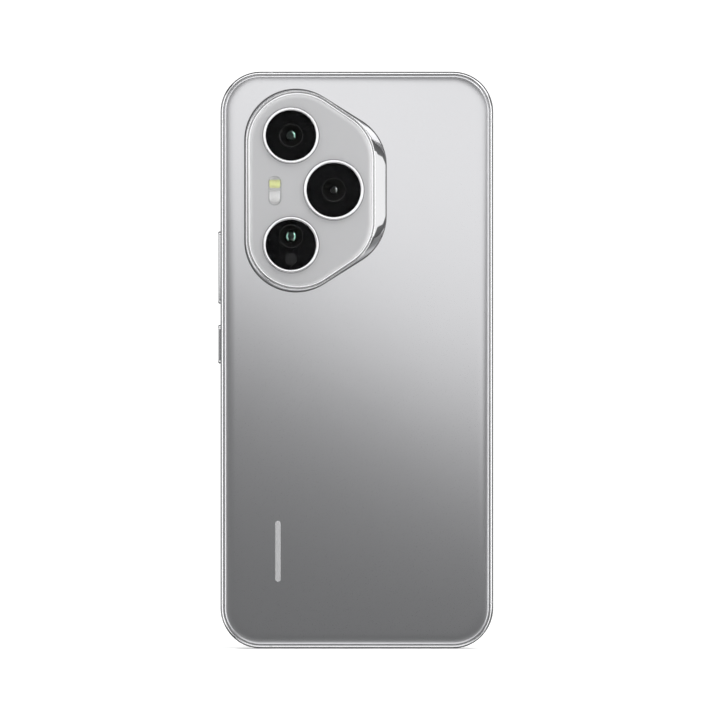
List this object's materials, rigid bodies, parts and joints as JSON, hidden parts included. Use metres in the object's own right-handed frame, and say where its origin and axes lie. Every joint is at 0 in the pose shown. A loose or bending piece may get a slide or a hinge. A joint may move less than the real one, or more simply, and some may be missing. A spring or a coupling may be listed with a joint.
{
  "type": "smartphone",
  "caption": "Slab smartphone with a satin glass back, polished metal frame, raised sloping camera island with large round lenses, side keys and a slide-out card tray.",
  "frame": {"origin": "middle of the charging port's mouth, on the bottom end, at the middle of the phone's width and thickness", "axes": "+Z towards the top end, -Y out of the camera side, +Y out of the display, +X to the right as seen from the camera side"},
  "size_m": [0.0767, 0.0115, 0.1608],
  "materials": {
    "antenna_plastic": "colour-matched gloss",
    "battery_wrap": "black wrap",
    "black_adhesive": "matt black foam tape",
    "black_plastic": "black moulded",
    "board": "green solder mask",
    "card": "plain white card",
    "copper": "bare copper",
    "deck_satin": "fine satin",
    "display_glass": "gloss, dark",
    "display_panel": "black screen",
    "flash_plastic": "clear lens",
    "flex": "amber polyimide",
    "frame_metal": "polished silver",
    "graphite": "satin graphite",
    "inner_metal": "dull cast",
    "inner_steel": "bright pressed steel",
    "key_metal": "polished silver",
    "led_cool": "white phosphor",
    "led_warm": "yellow phosphor",
    "lens_black": "black anodised",
    "lens_glass": "coated, clear",
    "mesh_dark": "woven black mesh",
    "motor_metal": "dense metal",
    "polished_metal": "bright polished",
    "port_steel": "drawn steel",
    "pull_tab": "green film",
    "rear_glass": "satin silver-grey, opaque",
    "sensor_dark": "dark filter",
    "tray_metal": "polished face, satin tray"
  },
  "bodies": {
    "phone": {"antenna_bands": "antenna_plastic", "battery": "battery_wrap", "battery_pull_tab": "pull_tab", "board_cover": "black_plastic", "charging_coil": "copper", "charging_port_shell": "port_steel", "charging_port_tongue": "black_plastic", "cover_screws": "inner_steel", "display_adhesive": "black_adhesive", "display_glass": "display_glass", "display_panel": "display_panel", "earpiece_mesh": "mesh_dark", "earpiece_speaker": "black_plastic", "fingerprint_sensor": "sensor_dark", "flash_board": "board", "flash_led_cool": "led_cool", "flash_led_warm": "led_warm", "flash_window": "flash_plastic", "front_camera": "lens_black", "front_depth_camera": "lens_black", "graphite_sheet": "graphite", "island_deck": "deck_satin", "island_rim": "polished_metal", "key_flex": "flex", "light_sensor": "sensor_dark", "loudspeaker": "black_plastic", "loudspeaker_mesh": "mesh_dark", "lower_camera_housing": "lens_black", "lower_lens_cover": "lens_glass", "lower_lens_ring": "polished_metal", "main_board": "board", "main_camera_housing": "lens_black", "main_flex": "flex", "main_lens_cover": "lens_glass", "main_lens_ring": "polished_metal", "microphones": "inner_steel", "mid_plate": "inner_metal", "rear_cover": "rear_glass", "rear_cover_adhesive": "black_adhesive", "shield_cans": "inner_steel", "side_frame": "frame_metal", "sim_reader": "inner_steel", "sub_board": "board", "upper_camera_housing": "lens_black", "upper_lens_cover": "lens_glass", "upper_lens_ring": "polished_metal", "vapour_chamber": "copper", "vibration_motor_case": "inner_steel"},
    "power_key": {"power_key": "key_metal"},
    "volume_key": {"volume_key": "key_metal"},
    "sim_tray": {"sim_tray": "tray_metal", "sim_card": "card"},
    "eject_plunger": {"eject_plunger": "inner_steel"},
    "eject_lever": {"eject_lever": "inner_steel"},
    "upper_lens_barrel": {"upper_lens_barrel": "lens_black"},
    "main_lens_barrel": {"main_lens_barrel": "lens_black"},
    "lower_lens_barrel": {"lower_lens_barrel": "lens_black"},
    "vibration_mass": {"vibration_motor_mass": "motor_metal"}
  },
  "joints": [
    {"name": "power_key_press", "type": "slide", "parent": "phone", "child": "power_key", "axis": [1, 0, 0], "range_m": [0, 0.00025], "stiffness_N_per_m": 4000, "springref_m": -0.0001},
    {"name": "volume_key_rock", "type": "hinge", "parent": "phone", "child": "volume_key", "pos_m": [-0.036, 0, 0.1062], "axis": [0, 1, 0], "range_deg": [-1.2, 1.2], "stiffness_Nm_per_rad": 0.6},
    {"name": "sim_tray_slide", "type": "slide", "parent": "phone", "child": "sim_tray", "axis": [1, 0, 0], "range_m": [0, 0.022]},
    {"name": "eject_plunger_push", "type": "slide", "parent": "phone", "child": "eject_plunger", "axis": [-1, 0, 0], "range_m": [0, 0.0012]},
    {"name": "eject_lever_turn", "type": "hinge", "parent": "phone", "child": "eject_lever", "pos_m": [0.0144, 0, 0.1076], "axis": [0, 1, 0], "range_deg": [-17.5, 0]},
    {"name": "upper_focus", "type": "slide", "parent": "phone", "child": "upper_lens_barrel", "axis": [0, -1, 0], "range_m": [0, 0.0003], "stiffness_N_per_m": 60},
    {"name": "main_focus", "type": "slide", "parent": "phone", "child": "main_lens_barrel", "axis": [0, -1, 0], "range_m": [0, 0.0003], "stiffness_N_per_m": 80},
    {"name": "lower_focus", "type": "slide", "parent": "phone", "child": "lower_lens_barrel", "axis": [0, -1, 0], "range_m": [0, 0.0003], "stiffness_N_per_m": 60},
    {"name": "vibration_mass_slide", "type": "slide", "parent": "phone", "child": "vibration_mass", "axis": [1, 0, 0], "range_m": [-0.0005, 0.0005], "stiffness_N_per_m": 1300}
  ],
  "couplings": [
    {"joint": "eject_lever_turn", "follows": "eject_plunger_push", "rad_per_m": -247.25}
  ]
}
